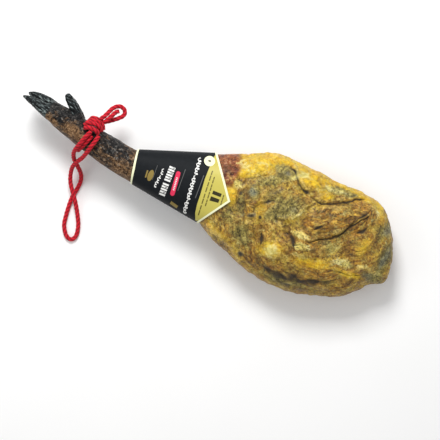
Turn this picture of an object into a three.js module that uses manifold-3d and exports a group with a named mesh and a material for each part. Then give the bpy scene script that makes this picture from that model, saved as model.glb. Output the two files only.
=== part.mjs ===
// A whole cured ham leg with its trotter, the card sleeve round its shank and the red rope tied at
// its ankle. It lies on its outer side, so the inner side with the bare lean faces up.
//
// Units are millimetres. +X runs from the trotter to the rump, +Y to the fat back of the leg and +Z
// up from the surface the leg lies on. The origin is on that surface, under the middle of the leg.

import * as THREE from "three";
import { mergeVertices } from "three/addons/utils/BufferGeometryUtils.js";
import Module from "manifold-3d";

const wasm = await Module();
wasm.setup();

// ---- Driving dimensions ------------------------------------------------------------------------

// Cross-sections of the leg: back and belly are the edges in Y, low and high the faces in Z, and
// square is the exponent of the superellipse between them (2 is an ellipse, more is boxier). heavy is
// how much thicker the section is towards its back than at its middle, as a share.
const section = (x, back, belly, low, high, square, heavy = 0) => (
  { x, back, belly, low, high, square, heavy }
);

const LEG = [
  section(-352, 60, 24, 50, 87, 2.0), // between the heels of the claws
  section(-330, 58, 12, 44, 92, 2.0), // pastern
  section(-305, 56, 3, 41, 93, 2.0),
  section(-280, 50, -5, 40, 94, 2.0), // ankle
  section(-255, 44, -12.5, 39, 95, 2.0),
  section(-230, 39, -19.5, 38, 96, 2.0),
  section(-192, 34, -29, 37, 98, 2.0), // shank
  section(-155, 28.5, -35.5, 35, 100, 2.1), // hock, where the sleeve begins
  section(-105, 44, -43, 30.5, 103, 2.1),
  section(-55, 62, -50, 25.5, 107.5, 2.1),
  section(-5, 79.5, -57.5, 20, 112, 2.1),
  section(13, 86, -61, 17, 113.5, 2.1), // the sleeve's lower corner
  section(45, 98, -78.5, 12.5, 117, 2.1),
  section(95, 121.5, -102, -1.5, 120, 2.1, 0.05),
  section(145, 126.5, -118, -4, 122, 2.1, 0.1), // widest part of the meat
  section(220, 119, -127.5, -4, 122.5, 2.1, 0.12),
  section(295, 115.5, -110.5, -2.5, 115, 2.2, 0.12),
  section(335, 112, -97, 0, 107, 2.2, 0.1),
  section(360, 97.5, -74, 5, 100, 2.2, 0.06), // rump
  section(376, 78.5, -55, 10.5, 94, 2.2, 0.03),
  section(391, 57, -47.5, 18, 86, 2.2),
  section(403, 25, -42, 28, 76, 2.2),
  section(409.5, -9, -34, 40, 64, 2.1),
];
const MEAT_FROM = 45; // past this the sections are set closer, for the folds of the meat
const RING_PITCH = { shank: 19, meat: 10.5 };
const RING_POINTS = { upper: 27, lower: 15 };
const UPPER_FROM = 0.12; // sine of the angle above which the folds of the upper face begin

// Folds of the upper face, each a path in plan, how far it rises or sinks and how wide it is.
const FOLDS = [
  { path: [[169, 92], [195, 65], [232, 66], [289, 91], [328, 108]], height: -6, width: 11 },
  { path: [[236, -12], [286, 14], [331, 51]], height: -5, width: 10 },
  { path: [[153, 108], [190, 80]], height: 4, width: 11 }, // fat folded over beside the crease
  { path: [[205, 20], [265, 40], [320, 75]], height: 5, width: 26 }, // long muscle
  { path: [[224, -30], [232, -22]], height: 6, width: 17 }, // end of the hip bone
  { path: [[172, -52], [184, -48]], height: 5, width: 18 }, // lump of fat
  { path: [[135, -48], [142, -36]], height: -5, width: 11 },
  { path: [[296, -40], [355, -18]], height: 4, width: 22 },
  { path: [[100, 0], [190, 10]], height: -4, width: 34 }, // hollow of the inner thigh
];

// The claws, as sections: back is the sole's edge and belly the front of the hoof.
const NEAR_CLAW = [
  section(-328, 46, 14, 68, 92, 2.0),
  section(-350, 49.5, 20.5, 67.5, 94.5, 2.2),
  section(-366, 51, 27, 67.5, 94, 2.4),
  section(-382, 51.5, 33.5, 68.5, 92, 2.5),
  section(-396.5, 50.5, 39.5, 71, 88.5, 2.4),
  section(-407, 48, 43.5, 75, 83, 2.0),
];
const FAR_CLAW = [
  section(-330, 56, 24, 45, 66, 2.0),
  section(-348, 62, 30, 42.5, 66, 2.2),
  section(-363, 65, 37, 42.5, 66, 2.4),
  section(-380, 65, 44, 44.5, 65, 2.5),
  section(-394, 62.5, 50.5, 48, 62.5, 2.4),
  section(-403.5, 59, 55, 52, 59, 2.0),
];
const CLAW_PITCH = 9;
const CLAW_POINTS = { upper: 9, lower: 9 };

// The dewclaws, behind and above the claws.
const DEWCLAW = { length: 56, radius: 9.2, flatness: 0.86, points: 12 };
const DEWCLAWS = [
  { root: [-283, 44, 80], tip: [-326.5, 82.5, 84] },
  { root: [-281, 44, 54], tip: [-322, 79, 48] },
];

// The card sleeve: its hems in plan. The right hem has two straight edges that meet in a point.
const SLEEVE = {
  narrowBack: [-153.3, 30.7],
  narrowBelly: [-141.3, -39.2],
  wideBack: [-2.7, 82.4],
  wideTip: [58.1, -0.1],
  wideBelly: [13.5, -63.6],
  middle: { from: 67.5, to: 64.5 }, // height of the fold lines at the narrow and the wide end
  half: { from: 35, to: 56.8 }, // half of the height across, at the narrow end and at the tip
  card: 0.8,
  square: 2.45,
  rows: 9, // steps along the leg
  stops: 8, // steps from a fold line to the point
};

// The rope, and the ring it makes round the ankle.
const ROPE = { diameter: 9, sides: 8 };
const ROPE_GAP = 0.9; // between the rope and the skin
const RING = { x: -253, lean: 13, leansAt: 112, from: 77, to: 389, step: 19.5 }; // angles in degrees
const RING_STEPS = 27;

// Turns of the knot over the strands, from the top of the ankle to its back edge.
const KNOT_TURNS = [
  { x: -250.5, degrees: 63, slant: -5, reach: 14, clear: 15 },
  { x: -250.5, degrees: 48, slant: -9, reach: 17, clear: 16.5 },
  { x: -248.5, degrees: 35, slant: -12, reach: 17, clear: 17 },
  { x: -252.5, degrees: 21, slant: -8, reach: 11, clear: 16 },
];
const KNOT_STEPS = 8;

// Route of the hanging loop: from the knot over the shank, down to the ground, round and back.
const LOOP_ROUTE = [
  [-250, 27.4, 105.3],
  [-253, 20.5, 107.8],
  [-257, 11.5, 107.6],
  [-261.5, -1.5, 103.2],
  [-267, -13, 92.5],
  [-270, -24, 76],
  [-267.5, -34.5, 57],
  [-260, -43.5, 41],
  [-251.5, -52.5, 26],
  [-245.5, -63.5, 13],
  [-244, -76.5, 5.6],
  [-245.5, -91.5, 4.6],
  [-248.5, -109.5, 4.6],
  [-248, -131.5, 4.6],
  [-246, -152.5, 4.6],
  [-242.5, -169.5, 4.6],
  [-232, -186, 4.6],
  [-221, -191.5, 4.6],
  [-213.5, -186, 4.6],
  [-212, -174.5, 4.6],
  [-216.5, -156, 5],
  [-226.5, -135.5, 8],
  [-237.5, -116.5, 12.6],
  [-250, -99, 15.4],
  [-261.5, -81.5, 18],
  [-266.5, -64.5, 27],
  [-266, -50, 43],
  [-259.5, -38, 60],
  [-251, -27, 75],
  [-244.5, -13.5, 90],
  [-239.5, 0, 101],
  [-235.5, 13, 103.5],
  [-233, 25.5, 101],
];
const LOOP_STEPS = 64;

// Route of the rope's short loop, which stands out of the knot past the back of the ankle.
const TAIL_ROUTE = [
  [-243.9, 58.6, 85.5],
  [-238, 67.5, 86.5],
  [-233.5, 78, 84.5],
  [-229.5, 87.5, 81],
  [-223.5, 94.5, 77],
  [-216.5, 97.5, 73.5],
  [-209, 95.5, 71],
  [-204.5, 89.5, 70],
  [-205.5, 82, 70],
  [-211.5, 75, 71],
  [-219, 68.5, 72],
  [-227.5, 62, 73],
  [-235, 57, 74],
];
const TAIL_STEPS = 24;

// Route of the rope's tucked end, which runs out of the knot beside the short loop.
const TUCK_ROUTE = [
  [-240, 52, 80],
  [-233.5, 57.5, 84.5],
  [-229.3, 64, 86],
  [-224.8, 73.9, 84.5],
  [-220.8, 83, 80.5],
  [-216.5, 87, 77.5],
];
const TUCK_STEPS = 7;

// ---- Materials ---------------------------------------------------------------------------------

const HAM_SKIN = new THREE.MeshStandardMaterial({ color: 0xb28a35, roughness: 0.45, metalness: 0 });
const BLACK_CARD = new THREE.MeshStandardMaterial({ color: 0x14120f, roughness: 0.25, metalness: 0 });
const RED_ROPE = new THREE.MeshStandardMaterial({ color: 0xb81224, roughness: 0.85, metalness: 0 });

// ---- Shape helpers -----------------------------------------------------------------------------

/** A value on the Catmull-Rom curve through b and c, at t from 0 to 1. */
function catmullRom(a, b, c, d, t) {
  const rise = (c - a) / 2;
  const fall = (d - b) / 2;
  const cubic = 2 * b - 2 * c + rise + fall;
  const square = -3 * b + 3 * c - 2 * rise - fall;
  return ((cubic * t + square) * t + rise) * t + b;
}

/** The section at t between rows i and i + 1. */
function between(rows, i, t) {
  const near = [i - 1, i, i + 1, i + 2].map((k) => rows[THREE.MathUtils.clamp(k, 0, rows.length - 1)]);
  const mixed = {};
  for (const key of Object.keys(rows[0])) {
    mixed[key] = catmullRom(near[0][key], near[1][key], near[2][key], near[3][key], t);
  }
  return mixed;
}

/** The rows with smooth sections put in between, about pitch(x) apart. */
function smoothRows(rows, pitch) {
  const smooth = [];
  for (let i = 0; i < rows.length - 1; i += 1) {
    const length = Math.abs(rows[i + 1].x - rows[i].x);
    const steps = Math.max(1, Math.round(length / pitch(rows[i].x)));
    for (let k = 0; k < steps; k += 1) {
      smooth.push(between(rows, i, k / steps));
    }
  }
  smooth.push(rows[rows.length - 1]);
  return smooth;
}

/** Keeps the sign of value and raises its size to power. */
const signedPower = (value, power) => Math.sign(value) * Math.abs(value) ** power;

/** Angles round a section, with their own number of points above and below its middle. */
function ringAngles({ upper, lower }) {
  const above = Array.from({ length: upper }, (_, i) => (Math.PI * i) / upper);
  const below = Array.from({ length: lower }, (_, i) => Math.PI * (1 + i / lower));
  return [...above, ...below];
}

/** Points of one section; lift(x, y) raises its upper face, and nothing goes below the ground. */
function ringPoints(row, angles, lift) {
  const middle = (row.back + row.belly) / 2;
  const half = (row.back - row.belly) / 2;
  const centre = (row.high + row.low) / 2;
  const tall = (row.high - row.low) / 2;
  return angles.map((angle) => {
    const y = middle + half * signedPower(Math.cos(angle), 2 / row.square);
    const thick = tall * (1 + row.heavy * Math.cos(angle));
    const z = centre + thick * signedPower(Math.sin(angle), 2 / row.square);
    const share = THREE.MathUtils.smoothstep(Math.sin(angle), UPPER_FROM, 1);
    return new THREE.Vector3(row.x, y, Math.max(0, z + share * lift(row.x, y)));
  });
}

/** A closed body through rings of points, with a fan at each end. */
function loft(rings) {
  const sides = rings[0].length;
  const positions = rings.flat();
  const index = [];
  for (let r = 0; r < rings.length - 1; r += 1) {
    for (let i = 0; i < sides; i += 1) {
      const a = r * sides + i;
      const b = r * sides + ((i + 1) % sides);
      index.push(a, b, a + sides, b, b + sides, a + sides);
    }
  }
  const ends = [
    { ring: 0, flip: true },
    { ring: rings.length - 1, flip: false },
  ];
  for (const { ring, flip } of ends) {
    const hub = positions.length;
    const sum = rings[ring].reduce((total, p) => total.add(p), new THREE.Vector3());
    positions.push(sum.divideScalar(sides));
    for (let i = 0; i < sides; i += 1) {
      const a = ring * sides + i;
      const b = ring * sides + ((i + 1) % sides);
      index.push(hub, flip ? b : a, flip ? a : b);
    }
  }
  const geometry = new THREE.BufferGeometry().setFromPoints(positions);
  geometry.setIndex(index);
  return geometry;
}

/** Turns a closed geometry into a solid that can be joined, with its faces pointing out. */
function toSolid(geometry) {
  const bare = geometry.clone();
  bare.deleteAttribute("normal");
  bare.deleteAttribute("uv");
  const merged = mergeVertices(bare, 1e-4);
  const vertProperties = new Float32Array(merged.attributes.position.array);
  const triVerts = new Uint32Array(merged.index.array);
  return new wasm.Manifold(new wasm.Mesh({ numProp: 3, vertProperties, triVerts }));
}

/** Joins closed geometries into one. */
function join(geometries) {
  const whole = geometries.map(toSolid).reduce((sum, solid) => sum.add(solid));
  const mesh = whole.getMesh();
  const joined = new THREE.BufferGeometry();
  joined.setAttribute("position", new THREE.BufferAttribute(mesh.vertProperties, 3));
  joined.setIndex(new THREE.BufferAttribute(mesh.triVerts, 1));
  return joined;
}

/** A rope of flat-ended round section along points. */
function ropeAlong(points, steps) {
  const path = new THREE.CatmullRomCurve3(points.map((p) => new THREE.Vector3(...p)));
  const outline = new THREE.Shape();
  const radius = ROPE.diameter / 2;
  for (let i = 0; i < ROPE.sides; i += 1) {
    const angle = (2 * Math.PI * i) / ROPE.sides;
    const [u, v] = [radius * Math.cos(angle), radius * Math.sin(angle)];
    if (i === 0) {
      outline.moveTo(u, v);
    } else {
      outline.lineTo(u, v);
    }
  }
  outline.closePath();
  return new THREE.ExtrudeGeometry(outline, { steps, bevelEnabled: false, extrudePath: path });
}

function namedMesh(name, geometry, material) {
  const mesh = new THREE.Mesh(geometry, material);
  mesh.name = name;
  return mesh;
}

// ---- The leg -----------------------------------------------------------------------------------

/** Distance in plan from (x, y) to the segment between from and to. */
function distanceToSegment(x, y, from, to) {
  const run = [to[0] - from[0], to[1] - from[1]];
  const length = run[0] ** 2 + run[1] ** 2;
  const along = ((x - from[0]) * run[0] + (y - from[1]) * run[1]) / length;
  const t = THREE.MathUtils.clamp(along, 0, 1);
  return Math.hypot(x - from[0] - t * run[0], y - from[1] - t * run[1]);
}

/** How far the folds raise or sink the upper face at (x, y). */
function foldHeight(x, y) {
  let total = 0;
  for (const fold of FOLDS) {
    let nearest = Infinity;
    for (let i = 0; i < fold.path.length - 1; i += 1) {
      nearest = Math.min(nearest, distanceToSegment(x, y, fold.path[i], fold.path[i + 1]));
    }
    total += fold.height * Math.exp(-((nearest / fold.width) ** 2));
  }
  return total;
}

function legGeometry() {
  const angles = ringAngles(RING_POINTS);
  const pitch = (x) => (x < MEAT_FROM ? RING_PITCH.shank : RING_PITCH.meat);
  return loft(smoothRows(LEG, pitch).map((row) => ringPoints(row, angles, foldHeight)));
}

function clawGeometry(rows) {
  const angles = ringAngles(CLAW_POINTS);
  const flat = () => 0;
  const rings = smoothRows(rows, () => CLAW_PITCH).map((row) => ringPoints(row, angles, flat));
  return loft(rings.reverse());
}

/** A blunt horn from root to tip. */
function dewclawGeometry({ root, tip }) {
  const { length, radius, flatness, points } = DEWCLAW;
  const profile = [
    new THREE.Vector2(0, 0),
    new THREE.Vector2(radius, 0),
    new THREE.Vector2(radius, length * 0.55),
    new THREE.Vector2(radius * 0.94, length * 0.8),
    new THREE.Vector2(radius * 0.68, length * 0.94),
    new THREE.Vector2(0, length),
  ];
  const from = new THREE.Vector3(...root);
  const along = new THREE.Vector3(...tip).sub(from);
  const horn = new THREE.LatheGeometry(profile, points);
  horn.scale(1, along.length() / length, flatness);
  horn.applyQuaternion(
    new THREE.Quaternion().setFromUnitVectors(new THREE.Vector3(0, 1, 0), along.normalize()),
  );
  horn.translate(from.x, from.y, from.z);
  return horn;
}

function hamLeg() {
  const claws = [NEAR_CLAW, FAR_CLAW].map(clawGeometry);
  const dewclaws = DEWCLAWS.map(dewclawGeometry);
  return namedMesh("ham_leg", join([legGeometry(), ...claws, ...dewclaws]), HAM_SKIN);
}

// ---- The sleeve --------------------------------------------------------------------------------

/** Places across the sleeve, from 1 at the back fold to -1 at the belly fold, with one on the point. */
function sleeveStops() {
  const { wideBack, wideTip, wideBelly, stops } = SLEEVE;
  const upper = Math.hypot(wideBack[0] - wideTip[0], wideBack[1] - wideTip[1]);
  const lower = Math.hypot(wideBelly[0] - wideTip[0], wideBelly[1] - wideTip[1]);
  const tip = -1 + (2 * lower) / (lower + upper);
  const eased = (k) => Math.sin((Math.PI / 2) * (k / stops));
  const front = [];
  for (let k = stops; k > 0; k -= 1) {
    front.push(tip + (1 - tip) * eased(k));
  }
  for (let k = 0; k <= stops; k += 1) {
    front.push(tip - (1 + tip) * eased(k));
  }
  return { tip, front };
}

/** Plan position on the wide hem, across from 1 at the back to -1 at the belly. */
function wideHem(across, tip) {
  const end = across > tip ? SLEEVE.wideBack : SLEEVE.wideBelly;
  const share = across > tip ? (across - tip) / (1 - tip) : (tip - across) / (1 + tip);
  return SLEEVE.wideTip.map((value, k) => value + (end[k] - value) * share);
}

/** One loop of the sleeve at share along it, shrunk inwards by inset. */
function sleeveRing(along, inset) {
  const { narrowBack, narrowBelly, wideTip, middle, half, square } = SLEEVE;
  const { tip, front } = sleeveStops();
  const point = (across, side) => {
    const share = (across + 1) / 2;
    const narrow = narrowBelly.map((value, k) => value + (narrowBack[k] - value) * share);
    const wide = wideHem(across, tip);
    const [x, y] = narrow.map((value, k) => value + (wide[k] - value) * along);
    const reach = (x - narrowBack[0]) / (wideTip[0] - narrowBack[0]);
    const centre = THREE.MathUtils.lerp(middle.from, middle.to, reach);
    const tall = THREE.MathUtils.lerp(half.from, half.to, reach) - inset;
    const arch = Math.max(0, 1 - Math.abs(across) ** square) ** (1 / square);
    return new THREE.Vector3(x, y - inset * across, centre + side * tall * arch);
  };
  const over = front.map((across) => point(across, 1));
  const under = front.slice(1, -1).reverse().map((across) => point(across, -1));
  return [...over, ...under];
}

function labelSleeve() {
  const { rows, card } = SLEEVE;
  const outer = Array.from({ length: rows + 1 }, (_, i) => sleeveRing(i / rows, 0));
  const inner = Array.from({ length: rows + 1 }, (_, i) => sleeveRing(i / rows, card));
  const sides = outer[0].length;
  const rings = [...outer, ...inner.reverse()];
  const index = [];
  for (let r = 0; r < rings.length; r += 1) {
    const next = (r + 1) % rings.length;
    for (let i = 0; i < sides; i += 1) {
      const j = (i + 1) % sides;
      const [a, b, c, d] = [r * sides + i, r * sides + j, next * sides + i, next * sides + j];
      index.push(a, b, c, b, d, c);
    }
  }
  const geometry = new THREE.BufferGeometry().setFromPoints(rings.flat());
  geometry.setIndex(index);
  return namedMesh("label_sleeve", geometry, BLACK_CARD);
}

// ---- The rope ----------------------------------------------------------------------------------

/** A point round the ankle at x, degrees from the back edge over the top, clear of the skin. */
function roundAnkle(x, degrees, clear) {
  const i = LEG.findIndex((row) => row.x > x) - 1;
  const row = between(LEG, i, (x - LEG[i].x) / (LEG[i + 1].x - LEG[i].x));
  const angle = THREE.MathUtils.degToRad(degrees);
  const y = (row.back + row.belly) / 2 + ((row.back - row.belly) / 2 + clear) * Math.cos(angle);
  const z = (row.high + row.low) / 2 + ((row.high - row.low) / 2 + clear) * Math.sin(angle);
  return [x, y, z];
}

/** The ring round the ankle: beside the loop's strand on top, and hidden underneath. */
function hitchRing() {
  const clear = ROPE.diameter / 2 + ROPE_GAP;
  const points = [];
  for (let degrees = RING.from; degrees <= RING.to; degrees += RING.step) {
    const lean = RING.lean * Math.sin(THREE.MathUtils.degToRad(degrees - RING.leansAt));
    points.push(roundAnkle(RING.x - lean, degrees, clear));
  }
  return ropeAlong(points, RING_STEPS);
}

/** One turn of the knot, which arches along the leg over the strands; slant turns it in degrees. */
function knotTurn({ x, degrees, slant, reach, clear }) {
  const low = ROPE.diameter / 2 + ROPE_GAP;
  const arch = [
    { along: -1, height: low },
    { along: -0.75, height: clear * 0.8 },
    { along: -0.3, height: clear },
    { along: 0.3, height: clear },
    { along: 0.75, height: clear * 0.8 },
    { along: 1, height: low },
  ];
  return ropeAlong(
    arch.map(({ along, height }) => roundAnkle(x + along * reach, degrees + along * slant, height)),
    KNOT_STEPS,
  );
}

function ropeHitch() {
  const tuckedEnd = ropeAlong(TUCK_ROUTE, TUCK_STEPS);
  const hitch = join([hitchRing(), ...KNOT_TURNS.map(knotTurn), tuckedEnd]);
  return namedMesh("rope_hitch", hitch, RED_ROPE);
}

function ropeLoop() {
  return namedMesh("rope_loop", ropeAlong(LOOP_ROUTE, LOOP_STEPS), RED_ROPE);
}

function ropeTail() {
  return namedMesh("rope_tail", ropeAlong(TAIL_ROUTE, TAIL_STEPS), RED_ROPE);
}

// ---- Assembly ----------------------------------------------------------------------------------

const ham = new THREE.Group();
ham.add(hamLeg(), labelSleeve(), ropeHitch(), ropeLoop(), ropeTail());

export default ham;
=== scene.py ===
"""A whole cured ham leg with its trotter, its card sleeve and its red rope, seen from straight above.

It lies on its outer side as the CAD part does. Sizes and places are millimetres of the part's frame
until they go to Blender, which gets metres. +X runs to the rump, +Y to the fat back and +Z up.
"""

import itertools
import math

import bpy
import numpy as np
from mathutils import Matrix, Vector


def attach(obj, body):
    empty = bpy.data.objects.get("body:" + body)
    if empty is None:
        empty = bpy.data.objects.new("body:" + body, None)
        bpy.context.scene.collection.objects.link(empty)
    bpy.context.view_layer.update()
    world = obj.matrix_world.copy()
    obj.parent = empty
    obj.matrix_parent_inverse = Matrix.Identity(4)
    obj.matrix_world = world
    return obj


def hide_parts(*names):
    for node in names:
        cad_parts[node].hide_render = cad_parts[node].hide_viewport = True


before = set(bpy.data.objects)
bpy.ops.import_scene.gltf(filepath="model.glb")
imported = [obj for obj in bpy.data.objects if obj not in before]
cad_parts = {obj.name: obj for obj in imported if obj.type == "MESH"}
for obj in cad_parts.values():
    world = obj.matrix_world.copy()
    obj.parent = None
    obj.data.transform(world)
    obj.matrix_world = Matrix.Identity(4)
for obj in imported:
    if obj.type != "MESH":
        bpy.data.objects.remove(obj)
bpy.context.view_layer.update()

MM = 0.001

# ---- Sizes shared with the CAD part ----

ROPE = {"diameter": 9.0, "gap": 0.9}
RING = {"x": -253, "lean": 13, "leans_at": 112, "from": 77, "to": 389, "step": 19.5}
KNOT_TURNS = [
    {"x": -250.5, "degrees": 63, "slant": -5, "reach": 14, "clear": 15},
    {"x": -250.5, "degrees": 48, "slant": -9, "reach": 17, "clear": 16.5},
    {"x": -248.5, "degrees": 35, "slant": -12, "reach": 17, "clear": 17},
    {"x": -252.5, "degrees": 21, "slant": -8, "reach": 11, "clear": 16},
]
KNOT_ARCH = [(-1, None), (-0.75, 0.8), (-0.3, 1), (0.3, 1), (0.75, 0.8), (1, None)]
LOOP_ROUTE = [
    (-250, 27.4, 105.3), (-253, 20.5, 107.8), (-257, 11.5, 107.6), (-261.5, -1.5, 103.2), (-267, -13, 92.5),
    (-270, -24, 76), (-267.5, -34.5, 57), (-260, -43.5, 41), (-251.5, -52.5, 26), (-245.5, -63.5, 13),
    (-244, -76.5, 5.6), (-245.5, -91.5, 4.6), (-248.5, -109.5, 4.6), (-248, -131.5, 4.6),
    (-246, -152.5, 4.6), (-242.5, -169.5, 4.6), (-232, -186, 4.6), (-221, -191.5, 4.6), (-213.5, -186, 4.6),
    (-212, -174.5, 4.6), (-216.5, -156, 5), (-226.5, -135.5, 8), (-237.5, -116.5, 12.6), (-250, -99, 15.4),
    (-261.5, -81.5, 18), (-266.5, -64.5, 27), (-266, -50, 43), (-259.5, -38, 60), (-251, -27, 75),
    (-244.5, -13.5, 90), (-239.5, 0, 101), (-235.5, 13, 103.5), (-233, 25.5, 101),
]
TAIL_ROUTE = [
    (-243.9, 58.6, 85.5), (-238, 67.5, 86.5), (-233.5, 78, 84.5), (-229.5, 87.5, 81), (-223.5, 94.5, 77),
    (-216.5, 97.5, 73.5), (-209, 95.5, 71), (-204.5, 89.5, 70), (-205.5, 82, 70), (-211.5, 75, 71),
    (-219, 68.5, 72), (-227.5, 62, 73), (-235, 57, 74),
]
TUCK_ROUTE = [
    (-240, 52, 80), (-233.5, 57.5, 84.5), (-229.3, 64, 86), (-224.8, 73.9, 84.5), (-220.8, 83, 80.5),
    (-216.5, 87, 77.5),
]
# The ankle under the rope: middle and half of its section at x, as a value at ANKLE_X and a slope.
ANKLE_X = -255
ANKLE = {"y": (15.75, -0.255), "half_y": (28.25, 0.035), "z": (67, 0), "half_z": (28, 0.04)}

SLEEVE = {
    "narrow_back": (-153.3, 30.7),
    "narrow_belly": (-141.3, -39.2),
    "wide_back": (-2.7, 82.4),
    "wide_tip": (58.1, -0.1),
    "wide_belly": (13.5, -63.6),
    "middle": (67.5, 64.5),
    "half": (35, 56.8),
    "card": 0.8,
    "square": 2.45,
}

# ---- Noise and shape helpers ----


def hashed(cells, seed):
    """A number from 0 to 1 for each cell of whole numbers, the same one every time."""
    whole = cells.astype(np.int64).astype(np.uint64)
    mixed = whole[:, 0] * np.uint64(73856093)
    mixed ^= whole[:, 1] * np.uint64(19349663)
    mixed ^= whole[:, 2] * np.uint64(83492791)
    mixed ^= np.uint64(seed * 2654435761 % 2**32)
    for shift, factor in ((15, 2246822519), (13, 3266489917)):
        mixed &= np.uint64(0xFFFFFFFF)
        mixed = (mixed ^ (mixed >> np.uint64(shift))) * np.uint64(factor)
    mixed &= np.uint64(0xFFFFFFFF)
    return (mixed ^ (mixed >> np.uint64(16))) / 2**32


def noise(points, size, seed):
    """Smooth noise from -1 to 1, whose lumps are about size across."""
    scaled = points / size + 0.37 * seed
    cells = np.floor(scaled)
    share = scaled - cells
    ease = share**3 * (share * (share * 6 - 15) + 10)
    total = np.zeros(len(points))
    for corner in itertools.product((0, 1), repeat=3):
        weight = np.prod(np.where(corner, ease, 1 - ease), axis=1)
        total += weight * hashed(cells + corner, seed)
    return 2 * total - 1


def fractal(points, size, seed, octaves=3):
    """Noise with finer noise on it, from about -1 to 1."""
    total = np.zeros(len(points))
    for octave in range(octaves):
        total += noise(points, size / 2**octave, seed + octave) / 2**octave
    return total / 1.6


def smoothstep(low, high, values):
    share = np.clip((values - low) / (high - low), 0, 1)
    return share * share * (3 - 2 * share)


def travelled(path):
    """How far along a path each of its points is."""
    return np.concatenate([[0], np.cumsum(np.linalg.norm(np.diff(path, axis=0), axis=1))])


def to_path(plan, path):
    """Distance in plan from each point to the path, and the share of the path where it is nearest."""
    corners = np.array(path, float)
    starts = travelled(corners)
    nearest = np.full(len(plan), np.inf)
    share = np.zeros(len(plan))
    for i, length in enumerate(np.diff(starts)):
        run = corners[i + 1] - corners[i]
        along = np.clip((plan - corners[i]) @ run / length**2, 0, 1)
        distance = np.linalg.norm(plan - corners[i] - along[:, None] * run, axis=1)
        closer = distance < nearest
        nearest = np.where(closer, distance, nearest)
        share = np.where(closer, (starts[i] + along * length) / starts[-1], share)
    return nearest, share


def line_mask(plan, path, width):
    """1 along the path, falling to 0 about width away, and thinner towards the path's ends."""
    distance, share = to_path(plan, path)
    taper = 0.35 + 0.65 * np.sqrt(np.clip(4 * share * (1 - share), 0, 1))
    return np.exp(-((distance / (width * taper)) ** 2))


def fold_lip(plan, path, width):
    """1 on the swollen left side of a path, falling off on both sides."""
    corners = np.array(path, float)
    run = corners[-1] - corners[0]
    left = np.array([-run[1], run[0]]) / np.linalg.norm(run)
    shifted = corners + left * width * 1.5
    return line_mask(plan, shifted, width * 1.6)


def patch_mask(plan, centre, size, turn=0.0, edge=0.35):
    """1 inside an ellipse of half axes size, turned by degrees, with a soft edge."""
    angle = math.radians(turn)
    offset = plan - np.array(centre, float)
    along = offset[:, 0] * math.cos(angle) + offset[:, 1] * math.sin(angle)
    across = -offset[:, 0] * math.sin(angle) + offset[:, 1] * math.cos(angle)
    reach = np.hypot(along / size[0], across / size[1])
    return 1 - smoothstep(1 - edge, 1 + edge, reach)


def flow_place(points):
    """Coordinates across and along the meat's streaks, which run round the long muscle as ellipses do."""
    near, far = (complex(*focus) for focus in FLOW["foci"])
    reach = (far - near) / 2
    pushed = FLOW["warp"] * (fractal(points, 48, 91, 2) + 1j * fractal(points, 48, 97, 2))
    plan = (points[:, 0] + 1j * points[:, 1] + pushed - (near + far) / 2) / reach
    oval = np.arccosh(plan)
    across = abs(reach) * np.sinh(oval.real)
    along = abs(reach) * np.abs(oval.imag) * np.cosh(oval.real) / FLOW["stretch"]
    apart = abs(reach) * plan.imag * FLOW["apart"] + points[:, 2] * FLOW["depth"]
    return np.column_stack([across, along, apart])


def placed(name, data):
    """A new object of the data, in the scene."""
    made = bpy.data.objects.new(name, data)
    bpy.context.scene.collection.objects.link(made)
    return made


def new_object(name, points, faces):
    """A smooth mesh object from points in millimetres."""
    mesh = bpy.data.meshes.new(name)
    mesh.from_pydata([tuple(p) for p in np.asarray(points) * MM], [], [tuple(f) for f in faces])
    mesh.update()
    mesh.polygons.foreach_set("use_smooth", [True] * len(mesh.polygons))
    return placed(name, mesh)


def set_attribute(piece, name, values):
    """Puts one number or one vector for each vertex on a piece, for its material to read."""
    values = np.asarray(values, np.float32)
    kind, field = ("FLOAT", "value") if values.ndim == 1 else ("FLOAT_VECTOR", "vector")
    made = piece.data.attributes.new(name, kind, "POINT")
    made.data.foreach_set(field, values.ravel())


def grid_faces(rows, columns, closed=False):
    """Faces between rows of points, and round each row if it is closed."""
    faces = []
    for r in range(rows - 1):
        for c in range(columns if closed else columns - 1):
            right = (c + 1) % columns
            a, b = r * columns + c, r * columns + right
            faces.append((a, b, b + columns, a + columns))
    return faces


# ---- Materials ----


def tone(red, green, blue):
    """A colour given as screen values from 0 to 255."""
    screen = (red, green, blue)
    linear = [((v / 255 + 0.055) / 1.055) ** 2.4 if v > 10 else v / 255 / 12.92 for v in screen]
    return (*linear, 1.0)


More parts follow.
